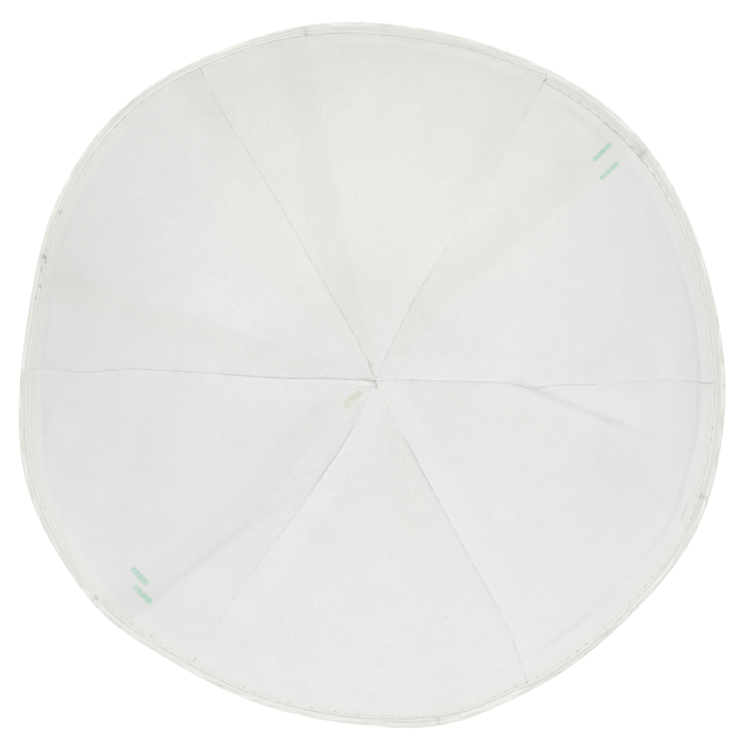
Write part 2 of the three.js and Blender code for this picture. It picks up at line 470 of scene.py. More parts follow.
def crease_rise(x, y):
    """The two slack bulges, which are a quarter as high near the rim."""
    side, run = crease_at(x, y)
    away = np.abs(side)
    rise = CREASE["rise"] * (1 - 0.75 * ease((np.hypot(x, y) - CREASE["low_from"]) / 16))
    return rise * run * (1 - np.exp(-away / CREASE["near"])) * hump(away, CREASE["far"])


def rise_of(folds, x, y):
    return sum(fold_rise(fold, x, y) for fold in folds)


def middle_of(points):
    flat = points.reshape(-1, 3)
    return (flat.min(axis=0) + flat.max(axis=0)) / 2


# The form isn't drawn about its own middle, so this moves it to where the solids are.
rim_points = outer_face(np.linspace(0, 2 * math.pi, 721), np.full(721, float(GORE_LENGTH)))
frame_middle = (np.array(CAD_BOX[0]) + np.array(CAD_BOX[1])) / 2 / MM
SHIFT = np.array([*(frame_middle - middle_of(rim_points))[:2], 0.0])


def cap_point(angle, along, depth):
    """Points in the cap's thickness, in the frame, still in millimetres."""
    face = outer_face(angle, along)
    dent = rise_of(CAP_DENTS, face[..., 0], face[..., 1])
    return face + inward(angle, along) * (depth + dent)[..., None] + SHIFT


def seam_angle(seam, reach):
    """The angle at which a seam lies at a reach from the crown point."""
    bends = [{"reach": 0, "off": 0}, *seam.get("bends", []), {"reach": RIM_RADIUS, "off": 0}]
    return math.radians(seam["rim"]) + read_table(bends, "reach", "off", reach) / reach


def soft_noise(x, y, apart, seed):
    """Smooth values from -1 to 1 with bumps about that far apart, the same at each run."""
    cells = 64
    grid = np.random.default_rng(seed).uniform(-1, 1, (cells, cells))
    across = np.asarray(x) / apart
    up = np.asarray(y) / apart
    i = np.floor(across).astype(int)
    j = np.floor(up).astype(int)
    u = ease(across - i)
    v = ease(up - j)
    corner = [grid[(i + a) % cells, (j + b) % cells] for a in (0, 1) for b in (0, 1)]
    low = corner[0] * (1 - v) + corner[1] * v
    high = corner[2] * (1 - v) + corner[3] * v
    return low * (1 - u) + high * u


def uneven(what, x, y=0, gore=0):
    """One kind of unevenness at places over the cloth, which may change from gore to gore."""
    kind = UNEVEN[what]
    return kind["much"] * soft_noise(x, y, kind["apart"], kind["seed"] + gore)


# ---------------------------------------------------------------- sheets

# Distances from a seam at which a wide gore has its first columns.
CLOSE_COLUMNS = (0, 0.09, 0.18, 0.30, 0.46, 0.70, 1.05, 1.55, 2.30)
WIDE_GORE = 24
TIP_ROW_START = 0.4
TIP_ROW_SPACING = 0.28
FINE_ROW_SPACING = 0.25


def spread_across(width, count):
    """Places across a gore from 0 to 1 at each row's width, closer together beside the seams."""
    near = np.array(CLOSE_COLUMNS) * np.minimum(1, width / WIDE_GORE)
    first = near[:, -1:]
    middle = first + (width - 2 * first) * np.linspace(0, 1, count + 2)[1:-1]
    return np.concatenate([near, middle, width - near[:, ::-1]], axis=1) / width


def spread_along(end, spacing, fine_to):
    """Distances along a gore from its tip, with close ones first."""
    tip = [TIP_REACH, *np.arange(TIP_ROW_START, fine_to + 0.01, TIP_ROW_SPACING)]
    count = max(2, round((end - tip[-1]) / spacing))
    return np.concatenate([tip[:-1], np.linspace(tip[-1], end, count)])


def with_turned_edge(down, depth, back_depth, back_width, back_spacing, fine_width=0):
    """How far along and how deep each row of a gore is, with its edge folded over and turned back.

    Down holds the rows as far as the fold. The first stretch of the part turned back, as long as
    fine_width, has its rows closer together.
    """
    end = GORE_LENGTH
    radius = (back_depth - depth) / 2
    turn = np.linspace(-90, 90, 9)[1:-1]
    arc_along = end - abs(radius) + abs(radius) * np.cos(np.radians(turn))
    arc_depth = depth + radius + radius * np.sin(np.radians(turn))
    fine = np.arange(end - abs(radius), end - abs(radius) - fine_width, -FINE_ROW_SPACING)
    coarse = np.arange(end - abs(radius) - fine_width, end - back_width, -back_spacing)
    back_along = np.concatenate([fine, coarse, [end - back_width]])
    along = np.concatenate([down, arc_along, back_along])
    depth = np.concatenate([np.full(len(down), depth), arc_depth, np.full(len(back_along), back_depth)])
    return along[:, None], depth[:, None]


def gore_angles(seams, index, reach, count, tuck=0):
    """The angle of each place across a gore's rows, and its distances from the two seams.

    With a tuck, the gore runs on past its second seam by that much, under its neighbour.
    """
    following = seams[(index + 1) % len(seams)]
    start = seam_angle(seams[index], reach)
    end = seam_angle(following, reach)
    if following["rim"] < seams[index]["rim"]:
        end = end + 2 * math.pi
    width = reach * (end - start) + tuck
    across = spread_across(width, count)
    from_start = width * across
    return start + width / reach * across, from_start, width - tuck - from_start


def cut_map(from_middle, along):
    """Where each place of a gore was in the flat cloth, with the grain straight down the gore."""
    turn = np.interp(along, SECTION_ALONG, SECTION_ROUND)
    return np.stack([turn * np.sin(from_middle / turn),
                     along - turn * (1 - np.cos(from_middle / turn))], axis=-1) * MM


def new_piece(name, points, faces):
    """A smooth piece from its points, in millimetres, and its faces."""
    mesh = bpy.data.meshes.new(name)
    mesh.from_pydata((points.reshape(-1, 3) * MM).tolist(), [], faces)
    mesh.shade_smooth()
    piece = bpy.data.objects.new(name, mesh)
    bpy.context.collection.objects.link(piece)
    return piece


def make_sheet(name, points, maps, tint, mark, thickness):
    """A cloth piece from a grid of points, with its maps by name, its tint, a mark and a wall."""
    rows, columns = points.shape[:2]
    index = np.arange(rows * columns).reshape(rows, columns)
    faces = np.stack([index[:-1, :-1], index[:-1, 1:], index[1:, 1:], index[1:, :-1]], axis=-1)
    piece = new_piece(name, points, faces.reshape(-1, 4).tolist())
    mesh = piece.data
    corner = np.empty(len(mesh.loops), dtype=int)
    mesh.loops.foreach_get("vertex_index", corner)
    for title, places in maps.items():
        layer = mesh.uv_layers.new(name=title)
        values = np.ascontiguousarray(places.reshape(-1, 2)[corner], dtype=np.float32)
        layer.data.foreach_set("uv", values.ravel())
    colour = mesh.attributes.new("Tint", "FLOAT_COLOR", "POINT")
    shade = np.concatenate([tint.reshape(-1, 3), mark.reshape(-1, 1)], axis=1)
    colour.data.foreach_set("color", shade.ravel())
    thicken(piece, thickness)
    return piece


def thicken(piece, thickness):
    wall = piece.modifiers.new("Wall", "SOLIDIFY")
    wall.thickness = thickness * MM
    wall.offset = 0
    wall.use_even_offset = False
    only(piece)
    bpy.ops.object.modifier_apply(modifier=wall.name)


def only(piece):
    """Selects one piece alone and makes it active."""
    bpy.ops.object.select_all(action="DESELECT")
    piece.select_set(True)
    bpy.context.view_layer.objects.active = piece


# ---------------------------------------------------------------- materials

LINING_WHITE = (0.815, 0.8145, 0.8045, 1)
OUTER_IVORY = (0.93, 0.932, 0.892, 1)
INK_GREEN = (0.16, 0.60, 0.40, 1)
SPECK_BROWN = (0.25, 0.24, 0.20, 1)
HOLE_SHADE_GREY = (0.42, 0.41, 0.38, 1)
LINING_GAP_SHADOW = (0.36, 0.31, 0.22, 1)
HEM_GAP_SHADOW = (0.36, 0.31, 0.20, 1)
INK_STRENGTH = 0.62
SPECK_STRENGTH = 0.5
HOLE_SHADE_STRENGTH = 0.62
WEAVE_PITCH = 0.36
TWILL_PITCH = 0.30

# How far from a needle hole's middle its painted shade is darkest and where it ends, how many times
# longer it is along the line than across, and how deep the shallowest and the deepest are.
NEEDLE_HOLE = {"dark_to": 0.12, "end": 0.36, "longer": 2, "depths": (0.25, 1.15)}

# How light the cloths are between their threads, and on their thinnest and thickest threads and
# their dullest and palest blotches.
LINING_SHADES = {"between": 0.965, "threads": (0.965, 1.02), "blotches": (0.985, 1.01)}
OUTER_SHADES = {"between": 0.96, "threads": (0.96, 1.03), "blotches": (0.98, 1.01)}

# How high the finest unevenness of the cloths and threads stands.
LINING_RELIEF = {"crumples": 0.22, "streaks": 0.06, "weave": 0.05, "holes": 0.12}
OUTER_RELIEF = {"crumples": 0.15, "ribs": 0.06}
FIBRE_RELIEF = 0.04

# Two pairs of short dashes stamped in ink on the lining, in plan.
INK_DASHES = table(
    "x0 y0 x1 y1 radius",
    (-61.6, -50.2, -58.4, -53.6, 0.75),
    (-60.6, -54.8, -57.2, -58.2, 0.7),
    (57.4, 55.6, 60.6, 58.8, 0.65),
    (59.4, 51.0, 62.8, 54.2, 0.65),
)

# Small brown specks on the lining, in plan.
SPECKS = table(
    "x y radius",
    (-60.6, 45.6, 0.2),
    (66.7, 30.7, 0.16),
    (19.5, -63.4, 0.22),
    (-36.5, -58.1, 0.18),
)

# Painted shadows in small gaps where stitches gape, at the upper right and at the upper left; the
# widest, at the upper right, is a brown patch on the cloth.
RIM_GAPS = table(
    "x0 y0 x1 y1 radius dark",
    (58.8, 64.4, 60.8, 62.9, 0.24, 0.18),
    (61.4, 62.4, 63.4, 60.8, 0.22, 0.18),
    (65.9, 58.3, 67.2, 57.3, 0.26, 0.25),
    (67.5, 57.9, 69.2, 56.2, 0.75, 0.13),
    (67.9, 55.8, 69.2, 54.8, 0.28, 0.25),
    (-79.1, 41.6, -79.4, 41.1, 0.28, 0.35),
    (-82.6, 31.9, -82.8, 31.4, 0.26, 0.35),
    (-83.2, 30.6, -83.4, 29.8, 0.3, 0.4),
    (-82.7, 29.0, -82.9, 28.4, 0.26, 0.35),
    (-83.8, 27.6, -84.0, 26.0, 0.26, 0.35),
    (-84.3, 22.9, -84.4, 22.4, 0.26, 0.35),
    (-85.2, 19.8, -85.3, 19.3, 0.26, 0.35),
)


class Shader:
    """A material under construction, with short ways to add and join its nodes."""

    def __init__(self, name):
        self.material = bpy.data.materials.new(name)
        self.material.use_nodes = True
        self.tree = self.material.node_tree
        self.surface = self.tree.nodes["Principled BSDF"]

    def feed(self, node, sockets):
        """Sets a node's sockets to values, or joins them to other nodes' outputs."""
        for socket, value in sockets.items():
            if hasattr(value, "links"):
                self.tree.links.new(value, node.inputs[socket])
            else:
                node.inputs[socket].default_value = value

    def node(self, kind, sockets=None, **settings):
        made = self.tree.nodes.new(kind)
        for key, value in settings.items():
            setattr(made, key, value)
        self.feed(made, sockets or {})
        return made

    def math(self, operation, first, second=0.0):
        return self.node("ShaderNodeMath", {0: first, 1: second}, operation=operation).outputs[0]

    def times(self, first, *others):
        for other in others:
            first = self.math("MULTIPLY", first, other)
        return first

    def plus(self, first, second):
        return self.math("ADD", first, second)

    def minus(self, first, second):
        return self.math("SUBTRACT", first, second)

    def vector(self, operation, first, second=None, scale=None):
        sockets = {0: first}
        if second is not None:
            sockets[1] = second
        if scale is not None:
            sockets["Scale"] = scale
        made = self.node("ShaderNodeVectorMath", sockets, operation=operation)
        return made.outputs["Value" if operation in ("LENGTH", "DOT_PRODUCT") else "Vector"]

    def split(self, coordinates):
        """The first two of a place's coordinates."""
        made = self.node("ShaderNodeSeparateXYZ", {0: coordinates})
        return made.outputs["X"], made.outputs["Y"]

    def spread(self, value, low, high, to_low=0.0, to_high=1.0, smooth=False):
        sockets = {"Value": value, "From Min": low, "From Max": high, "To Min": to_low, "To Max": to_high}
        kind = "SMOOTHSTEP" if smooth else "LINEAR"
        return self.node("ShaderNodeMapRange", sockets, interpolation_type=kind).outputs["Result"]

    def noise(self, coordinates, scale, detail=2.0, roughness=0.5):
        sockets = {"Vector": coordinates, "Scale": scale, "Detail": detail, "Roughness": roughness}
        return self.node("ShaderNodeTexNoise", sockets).outputs["Fac"]

    def stretched(self, coordinates, scale):
        return self.node("ShaderNodeMapping", {"Vector": coordinates, "Scale": scale}).outputs["Vector"]

    def place(self):
        return self.node("ShaderNodeTexCoord").outputs["Object"]

    def cloth_map(self, name="Cloth"):
        return self.node("ShaderNodeUVMap", uv_map=name).outputs["UV"]

    def tint(self):
        return self.node("ShaderNodeAttribute", attribute_name="Tint").outputs["Color"]

    def mark(self):
        return self.node("ShaderNodeAttribute", attribute_name="Tint").outputs["Alpha"]

    def mix(self, share, first, second, blend="MIX"):
        sockets = {"Factor": share, "A": first, "B": second}
        return self.node("ShaderNodeMix", sockets, data_type="RGBA", blend_type=blend).outputs["Result"]

    def bump(self, height, distance, below=None):
        """Unevenness as high as distance, in millimetres, over what lies below it."""
        sockets = {"Distance": distance * MM, "Height": height}
        if below is not None:
            sockets["Normal"] = below
        return self.node("ShaderNodeBump", sockets).outputs["Normal"]


def plain_weave(shader, coordinates):
    """The height of a plain weave's threads, 0 to 1, over a map in metres."""
    across, down = shader.split(coordinates)
    drift = shader.times(shader.noise(coordinates, 900, 1.0), 1.6)
    turns = math.pi / (WEAVE_PITCH * MM)
    warp = shader.plus(shader.times(across, turns), drift)
    weft = shader.plus(shader.times(down, turns), drift)
    over = shader.math("ABSOLUTE", shader.math("SINE", warp))
    under = shader.math("ABSOLUTE", shader.math("SINE", weft))
    swap = shader.times(shader.math("COSINE", warp), shader.math("COSINE", weft))
    lift = shader.spread(swap, -0.6, 0.6, smooth=True)
    one = shader.times(over, lift)
    other = shader.times(under, shader.minus(1.0, lift))
    return shader.plus(one, other)


def twill(shader, coordinates):
    """The height of a fine twill's slanting ribs, 0 to 1, over a map in metres."""
    across, down = shader.split(coordinates)
    turns = math.pi / (TWILL_PITCH * MM)
    slant = shader.plus(across, shader.times(down, 0.8))
    ribs = shader.math("ABSOLUTE", shader.math("SINE", shader.times(slant, turns)))
    cross = shader.math("ABSOLUTE", shader.math("SINE", shader.times(down, turns * 1.3)))
    return shader.plus(shader.times(ribs, 0.7), shader.times(cross, 0.3))


def thread_streaks(shader, coordinates):
    """Slightly thicker and thinner threads, as long streaks both ways of the cloth."""
    warp = shader.noise(shader.stretched(coordinates, (1.0, 0.05, 1.0)), 2600, 3.0, 0.7)
    weft = shader.noise(shader.stretched(coordinates, (0.05, 1.0, 1.0)), 2600, 3.0, 0.7)
    return shader.times(shader.plus(warp, weft), 0.5)


def woven_colour(shader, base, weave, streaks, blotches, shades):
    """A cloth's colour with its tint, its threads and its blotches."""
    colour = shader.mix(1.0, base, shader.tint(), "MULTIPLY")
    shade = shader.times(shader.spread(weave, 0.0, 1.0, shades["between"], 1.0),
                         shader.spread(streaks, 0.35, 0.65, *shades["threads"]),
                         shader.spread(blotches, 0.3, 0.7, *shades["blotches"]))
    return shader.mix(1.0, colour, shade, "MULTIPLY")


def finish_cloth(shader, colour, normal, roughness, sheen):
    shader.feed(shader.surface, {
        "Base Color": colour,
        "Normal": normal,
        "Roughness": roughness,
        "Specular IOR Level": 0.25,
        "Sheen Weight": sheen,
        "Sheen Roughness": 0.6,
    })
    return shader.material


def way_from(shader, place, x, y):
    """The way in plan from a point of the cap to each place."""
    flat = shader.vector("MULTIPLY", place, (1.0, 1.0, 0.0))
    return shader.vector("SUBTRACT", flat, (x * MM, y * MM, 0.0))


def dash_mask(shader, place, dash):
    """1 inside a short dash seen in plan, 0 outside it."""
    east = dash["x1"] - dash["x0"]
    north = dash["y1"] - dash["y0"]
    length = math.hypot(east, north) * MM
    ahead = (east * MM / length, north * MM / length, 0.0)
    away = way_from(shader, place, dash["x0"], dash["y0"])
    on = shader.math("MAXIMUM", shader.vector("DOT_PRODUCT", away, ahead), 0.0)
    nearest = shader.vector("SCALE", ahead, scale=shader.math("MINIMUM", on, length))
    distance = shader.vector("LENGTH", shader.vector("SUBTRACT", away, nearest))
    radius = dash["radius"] * MM
    return shader.spread(distance, radius * 0.6, radius * 1.15, 1.0, 0.0, smooth=True)


def speck_mask(shader, place, speck):
    distance = shader.vector("LENGTH", way_from(shader, place, speck["x"], speck["y"]))
    radius = speck["radius"] * MM
    return shader.spread(distance, radius * 0.5, radius, 1.0, 0.0)


def strongest(shader, masks):
    """The greatest of some masks at each place."""
    most = 0.0
    for mask in masks:
        most = shader.math("MAXIMUM", mask, most)
    return most


def rim_shadows(shader, place):
    """How dark the painted shadows in the small gaps beside the rim are."""
    return strongest(shader, (shader.times(dash_mask(shader, place, gap), gap["dark"])
                              for gap in RIM_GAPS))


def needle_holes(shader):
    """Each needle hole's dip and painted shade, some deeper than others, and 0 beside them.

    The Edge map counts stitches across, and millimetres from the stitch line the other way.
    """
    count, off_line = shader.split(shader.cloth_map("Edge"))
    turn = shader.minus(shader.math("FRACT", count), 0.5)
    on_line = shader.times(turn, STITCH_PITCH / NEEDLE_HOLE["longer"])
    away = shader.math("SQRT", shader.plus(shader.math("POWER", on_line, 2.0),
                                           shader.math("POWER", off_line, 2.0)))
    chance = shader.node("ShaderNodeTexWhiteNoise", noise_dimensions="1D")
    shader.feed(chance, {"W": shader.math("FLOOR", count)})
    deep = shader.spread(chance.outputs["Value"], 0.0, 1.0, *NEEDLE_HOLE["depths"])
    hole = shader.spread(away, NEEDLE_HOLE["dark_to"], NEEDLE_HOLE["end"], 1.0, 0.0, smooth=True)
    return shader.times(hole, deep)


def lining_material():
    shader = Shader("white_plain_weave_lining")
    cloth = shader.cloth_map()
    place = shader.place()
    weave = plain_weave(shader, cloth)
    streaks = thread_streaks(shader, cloth)
    blotches = shader.noise(place, 90, 3.0, 0.55)
    colour = woven_colour(shader, LINING_WHITE, weave, streaks, blotches, LINING_SHADES)
    patchy = shader.spread(shader.noise(place, 1100, 3.0, 0.7), 0.30, 0.62, 0.15, 1.0)
    ink = strongest(shader, (dash_mask(shader, place, dash) for dash in INK_DASHES))
    colour = shader.mix(shader.times(ink, patchy, INK_STRENGTH), colour, INK_GREEN)
    specks = strongest(shader, (speck_mask(shader, place, speck) for speck in SPECKS))
    colour = shader.mix(shader.times(specks, SPECK_STRENGTH), colour, SPECK_BROWN)
    # Painted shade in the needle holes of the topstitching.
    holes = shader.times(needle_holes(shader), shader.mark())
    colour = shader.mix(shader.times(holes, HOLE_SHADE_STRENGTH), colour, HOLE_SHADE_GREY)
    colour = shader.mix(rim_shadows(shader, place), colour, LINING_GAP_SHADOW)
    normal = shader.bump(shader.noise(place, 260, 4.0, 0.6), LINING_RELIEF["crumples"])
    normal = shader.bump(streaks, LINING_RELIEF["streaks"], normal)
    normal = shader.bump(weave, LINING_RELIEF["weave"], normal)
    normal = shader.bump(shader.minus(1.0, holes), LINING_RELIEF["holes"], normal)
    return finish_cloth(shader, colour, normal, roughness=0.9, sheen=0.05)


def outer_material():
    shader = Shader("ivory_fine_twill")
    cloth = shader.cloth_map()
    place = shader.place()
    ribs = twill(shader, cloth)
    streaks = thread_streaks(shader, cloth)
    blotches = shader.noise(place, 60, 3.0, 0.5)
    colour = woven_colour(shader, OUTER_IVORY, ribs, streaks, blotches, OUTER_SHADES)
    shadows = shader.times(rim_shadows(shader, place), shader.mark())
    colour = shader.mix(shadows, colour, HEM_GAP_SHADOW)
    normal = shader.bump(shader.noise(place, 300, 3.0, 0.6), OUTER_RELIEF["crumples"])
    normal = shader.bump(ribs, OUTER_RELIEF["ribs"], normal)
    return finish_cloth(shader, colour, normal, roughness=0.72, sheen=0.15)


def thread_material(name, colour, dark):
    shader = Shader(name)
    fibres = shader.noise(shader.place(), 5200, 3.0, 0.7)
    colour = shader.mix(fibres, dark, colour)
    return finish_cloth(shader, colour, shader.bump(fibres, FIBRE_RELIEF), roughness=0.7, sheen=0.1)


# ---------------------------------------------------------------- the outer cloth

OUTER_COLUMNS = 58
OUTER_ROW_SPACING = 1.1
OUTER_FINE_TO = 2.6  # from the crown, the stretch with rows closer together
HEM_ROW_SPACING = 1.2
HEM_FINE_WIDTH = 5
SEAM_CURL = 0.26
OUTSIDE_DULLNESS = 0.09
SEAM_DARKNESS = 0.06
# A stretch of the hem painted greyer, partly its own tone and partly painted shade.
GREYER_STRETCH = {"at": 52, "spread": 11, "grime": 0.02}
# The width of the hem's painted light beside the lining's edge, and how much painted light the hem's puff
# and the rim's fold get.
LIT_WIDTH = 0.42  # of the hem's light stretch beside the lining's edge
PUFF_LIGHT = 0.5
FOLD_LIGHT = 0.04


def past_lining(angle, along):
    """How far beyond the lining's folded edge a place on the hem is, towards the rim."""
    return along - GORE_LENGTH + read_round(LINING_EDGE, "short", angle) - 0.05


def outer_depth(index, depth, angle, along, seam, inside):
    """The depth of an outer gore's middle, with its seams' curl and puckers and the hem's puff.

    Seam is the distance from the nearer seam. Inside is 1 on the hem and 0 on the cap's outside.
    """
    back = GORE_LENGTH - along
    sunk = (TURNED_DEPTH - read_table(HEM_FALL, "back", "depth", back)) * (inside == 1)
    curl = SEAM_CURL * hump(seam, 0.5) * (1 - 2 * inside)
    curl = curl * (1 - inside * ease((back - 4) / 4))
    pucker = uneven("outer_pucker", along, 7.5 * index, index) * np.exp(-seam / 3)
    pucker = pucker * (1 - inside) * ease(along / 20)
    past = past_lining(angle, along)
    puff = read_round(LINING_EDGE, "puff", angle) * ease(past / 0.2) * (1 - ease((past - 0.7) / 0.9))
    return depth + curl + pucker + puff * (inside == 1) - sunk


def outer_tint(angle, along, seam, inside):
    """The outer cloth's dullness, the hem's grey tone and painted shade, and painted light at the rim."""
    around = np.degrees(angle) % 360
    grey = read_round(LINING_EDGE, "grime", angle)
    grey = grey + GREYER_STRETCH["grime"] * hump(around - GREYER_STRETCH["at"], GREYER_STRETCH["spread"])
    # At the rim's fold the grey and the painted shade are left off, as painted light.
    lit_fold = near_rim(along, 0.9, 0.7)
    beside_lining = inside * (1 - lit_fold) * hump(past_lining(angle, along), LIT_WIDTH)
    grey_shade_and_light = (OUTSIDE_DULLNESS * (1 - inside) + grey * inside) * (1 - lit_fold)
    # Painted light on the hem's puff, at the rim's fold and beside the lining's edge.
    grey_shade_and_light = grey_shade_and_light - PUFF_LIGHT * read_round(LINING_EDGE, "puff", angle) * near_rim(along, 1.6, 1.4)
    grey_shade_and_light = grey_shade_and_light - FOLD_LIGHT * near_rim(along, 0.75, 0.5)
    grey_shade_and_light = grey_shade_and_light - beside_lining * read_round(LINING_EDGE, "lit", angle)
    shade = (1 - SEAM_DARKNESS * hump(seam, 0.7)) * (1 - grey_shade_and_light)
    return np.stack([shade, shade * 0.999, shade * 0.990], axis=-1)


def outer_gore(index):
    """One outer gore, from the crown to the rim and back inside as the hem."""
    down = spread_along(GORE_LENGTH - (TURNED_DEPTH - OUTER_DEPTH) / 2, OUTER_ROW_SPACING, OUTER_FINE_TO)
    along, depth = with_turned_edge(down, OUTER_DEPTH, TURNED_DEPTH, HEM_WIDTH, HEM_ROW_SPACING,
                                    HEM_FINE_WIDTH)
    angle, from_start, from_end = gore_angles(OUTER_SEAMS, index, reach_at(along), OUTER_COLUMNS)
    along = np.broadcast_to(along, angle.shape)
    seam = np.minimum(from_start, from_end)
    inside = ease((depth - OUTER_DEPTH) / (TURNED_DEPTH - OUTER_DEPTH))
    points = cap_point(angle, along, outer_depth(index, depth, angle, along, seam, inside))
    cloth = cut_map((from_start - from_end) / 2, along)
    cloth[..., 1] += 0.3 * inside  # the hem's pattern doesn't go on from the outside's
    piece = make_sheet(f"outer_cloth_{index + 1}", points, {"Cloth": cloth},
                       outer_tint(angle, along, seam, inside), inside + 0 * seam, OUTER_CLOTH)
    piece.data.materials.append(outer_cloth)
    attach(piece, "root")
    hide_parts(f"outer_gore_{index + 1}")
    return piece


# ---------------------------------------------------------------- the lining

LINING_COLUMNS = 102
LINING_ROW_SPACING = 0.85
LINING_FINE_TO = 6.6
UNDER_ROW_SPACING = 0.9
FULL_LAP = 0.1  # a lap this proud is rolled over and tucked in full
LAP_ROLL = 0.22
LAP_SINK = 0.20
FLAT_EDGE = 6  # the stretch at the folded edge that lies flat on the hem
SHARP_SHARE = 0.6  # how much of the step onto the hem is sharp, where the ring's strength is 1
STITCHED_DOWN = 0.85  # how much of its unevenness the topstitching takes from the lining's edge
RING_HIGH = 0.20
RING_WIDE = 1.4
ALLOWANCE_HIGH = 0.22
CLOTH_GAP = 0.03
LEAST_ROOM = 0.01
MOST_SAG = 0.18
LINE_DARKNESS = 0.02
WHITENESS = 0.022
CROWN_SHADE = {"span": 20, "dark": 0.016}
MIDWAY_LIGHT = {"reach": 52, "span": 22, "light": 0.03}
WARMTH = (0, 0.006, 0.026)  # how much less red, green and blue it leaves
YELLOWNESS = (0.035, 0.02, 0.12)  # the same for the stain


def allowance_band(x, y):
    """Over the outer cloth's pressed allowances: 1, how dark and warm they show, with painted shade."""
    lift = np.zeros_like(x)
    dark = np.zeros_like(x)
    warm = np.zeros_like(x)
    for seam in OUTER_SEAMS:
        direction = math.radians(seam["rim"])
        on = (x - CROWN_X) * math.cos(direction) + (y - CROWN_Y) * math.sin(direction)
        side = (y - CROWN_Y) * math.cos(direction) - (x - CROWN_X) * math.sin(direction)
        side = side - seam["shift"] * (1 - ease((on - 26) / 24))
        narrowing = ease(on / 30)
        first = seam["from"] * narrowing
        last = seam["to"] * narrowing
        edge = seam["edge"]
        band = (ease((side - first + 1.4) / 2.8) * (1 - ease((side - last + edge / 2) / edge))
                * ease((on - 4) / 8))
        # Painted shade along the band's far side.
        line = seam["line"] * hump(side - last + 0.6, 0.8) * ease((on - 34) / 10)
        lift = lift + band
        dark = dark + band * seam["dark"] * (1 + uneven("allowance", on, seam["rim"])) + line
        warm = warm + band * seam["warm"]
    return lift, dark, warm


def lap_at(seam, reach):
    """A seam's lap, split into the anticlockwise edge's and the clockwise edge's share."""
    lap = read_table(seam["laps"], "reach", "lap", reach)
    return np.maximum(lap, 0), np.maximum(-lap, 0)


def lapped_edge(away, proud, other):
    """How one edge of a gore stands: rolled over where it is proud, and low under the other's."""
    away = np.maximum(away, 0)
    roll = np.minimum(1, proud / FULL_LAP) * LAP_ROLL * hump(away, 0.15)
    low = np.minimum(1, other / FULL_LAP) * LAP_SINK * np.exp(-away / 0.5)
    return proud * np.exp(-away / LAP_WIDTH) - roll - low


def edge_pleat(angle, along):
    """A low ridge beside the rim, steep towards the rim and soft towards the crown."""
    at = np.degrees(angle) % 360
    run = ease((at - EDGE_PLEAT["start"]) / 3) * (1 - ease((at - EDGE_PLEAT["end"] + 12) / 12))
    away = along - GORE_LENGTH + EDGE_PLEAT["inset"] + uneven("edge_pleat", at)
    return EDGE_PLEAT["rise"] * run * hump(away, np.where(away > 0, 0.35, 3.0))


def tip_fold(x, y):
    """1 on the small tongue of cloth folded over at the crown, 0 off it."""
    on, side, length = beside(TIP_FOLD, x - CROWN_X, y - CROWN_Y)
    share = on / length
    half = TIP_FOLD["wide"] / 2 * ease(share / 0.5 + 0.3)
    half = half + (TIP_FOLD["narrow"] - TIP_FOLD["wide"]) / 2 * ease(share * 1.6 - 0.6)
    ends = ease(on / 2.4) * ease((length - on) / 0.5)
    return ease((half - np.abs(side)) / 0.28 + 0.3) * ends


def under_lining(along):
    """The depth of the face that the lining lies on: the outer cloth's, or the hem's near the rim."""
    back = GORE_LENGTH - along
    hem = read_table(HEM_FALL, "back", "depth", back)
    bare = ease((back - HEM_WIDTH) / 0.8)
    return OUTER_CLOTH / 2 + hem + (OUTER_DEPTH - hem) * bare


class LiningGrid:
    """Where the places of a lining gore's sheet are: rows along the gore and columns across it."""

    def __init__(self, index):
        self.index = index
        self.seam = LINING_SEAMS[index]
        self.next_seam = LINING_SEAMS[(index + 1) % len(LINING_SEAMS)]
        down = spread_along(GORE_LENGTH, LINING_ROW_SPACING, LINING_FINE_TO)
        self.plain, self.depth = with_turned_edge(down, LINING_HEM_DEPTH, LINING_UNDER_DEPTH,
                                                  LINING_UNDER_WIDTH, UNDER_ROW_SPACING)
        self.reach = reach_at(self.plain)
        self.proud, self.other = lap_at(self.seam, self.reach)
        self.next_other, self.next_proud = lap_at(self.next_seam, self.reach)
        tuck = TUCK * np.minimum(1, self.next_other / FULL_LAP) * np.minimum(1, self.reach / 12)
        tuck = tuck * (1 - near_rim(self.plain, 14, 6))
        angle, self.from_start, self.from_end = gore_angles(LINING_SEAMS, index, self.reach,
                                                            LINING_COLUMNS, tuck)
        wander = uneven("seam_wander", self.plain, 5 * index)
        self.angle = angle + wander * np.exp(-self.from_start / 1.5) / self.reach
        # The rows near the rim are drawn back as far as the lining's edge is.
        short = read_round(LINING_EDGE, "short", self.angle)
        self.along = self.plain - short * ease((self.plain / GORE_LENGTH - 0.6) / 0.4)
        self.under = ease((LINING_HEM_DEPTH - self.depth) / (LINING_HEM_DEPTH - LINING_UNDER_DEPTH))
        face = outer_face(self.angle, self.along)
        self.x = face[..., 0]
        self.y = face[..., 1]
        self.tip = tip_fold(self.x, self.y)


